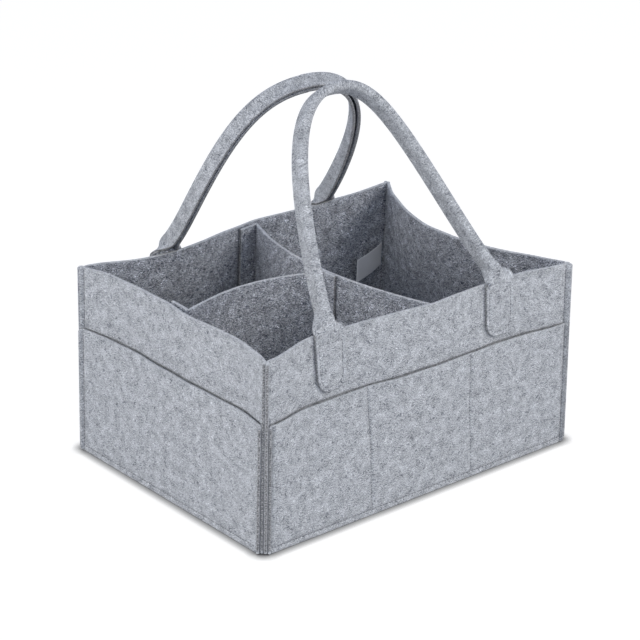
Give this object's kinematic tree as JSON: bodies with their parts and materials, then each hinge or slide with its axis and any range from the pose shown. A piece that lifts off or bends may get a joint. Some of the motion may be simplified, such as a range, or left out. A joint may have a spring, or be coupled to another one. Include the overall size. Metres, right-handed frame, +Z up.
{
  "type": "felt storage basket",
  "caption": "Rectangular grey felt storage basket with outer pockets, folded felt strip handles that flop outward and a loose T-shaped divider.",
  "frame": {"origin": "middle of the underside, on the surface that the basket stands on", "axes": "+X along the basket's length to its right end, +Y from front to back, +Z up"},
  "size_m": [0.377, 0.274, 0.3575],
  "materials": {
    "felt": "heathered grey felt, matt, with darker fibres",
    "label": "smooth white woven tape, blank"
  },
  "bodies": {
    "basket": {"base_panel": "felt", "front_wall": "felt", "back_wall": "felt", "left_end_wall": "felt", "right_end_wall": "felt", "front_pocket": "felt", "back_pocket": "felt", "left_end_pocket": "felt", "right_end_pocket": "felt", "front_handle_tab_left": "felt", "front_handle_tab_right": "felt", "back_handle_tab_left": "felt", "back_handle_tab_right": "felt", "care_label": "label"},
    "front_handle": {"front_handle": "felt"},
    "back_handle": {"back_handle": "felt"},
    "insert": {"cross_divider": "felt", "long_divider": "felt"}
  },
  "joints": [
    {"name": "front_handle_swing", "type": "hinge", "parent": "basket", "child": "front_handle", "pos_m": [0, -0.1208, 0.1803], "axis": [1, 0, 0], "range_deg": [0, 120]},
    {"name": "back_handle_swing", "type": "hinge", "parent": "basket", "child": "back_handle", "pos_m": [0, 0.1238, 0.1803], "axis": [-1, 0, 0], "range_deg": [0, 120]},
    {"name": "insert_lift", "type": "slide", "parent": "basket", "child": "insert", "axis": [0, 0, 1], "range_m": [0, 0.12]}
  ]
}
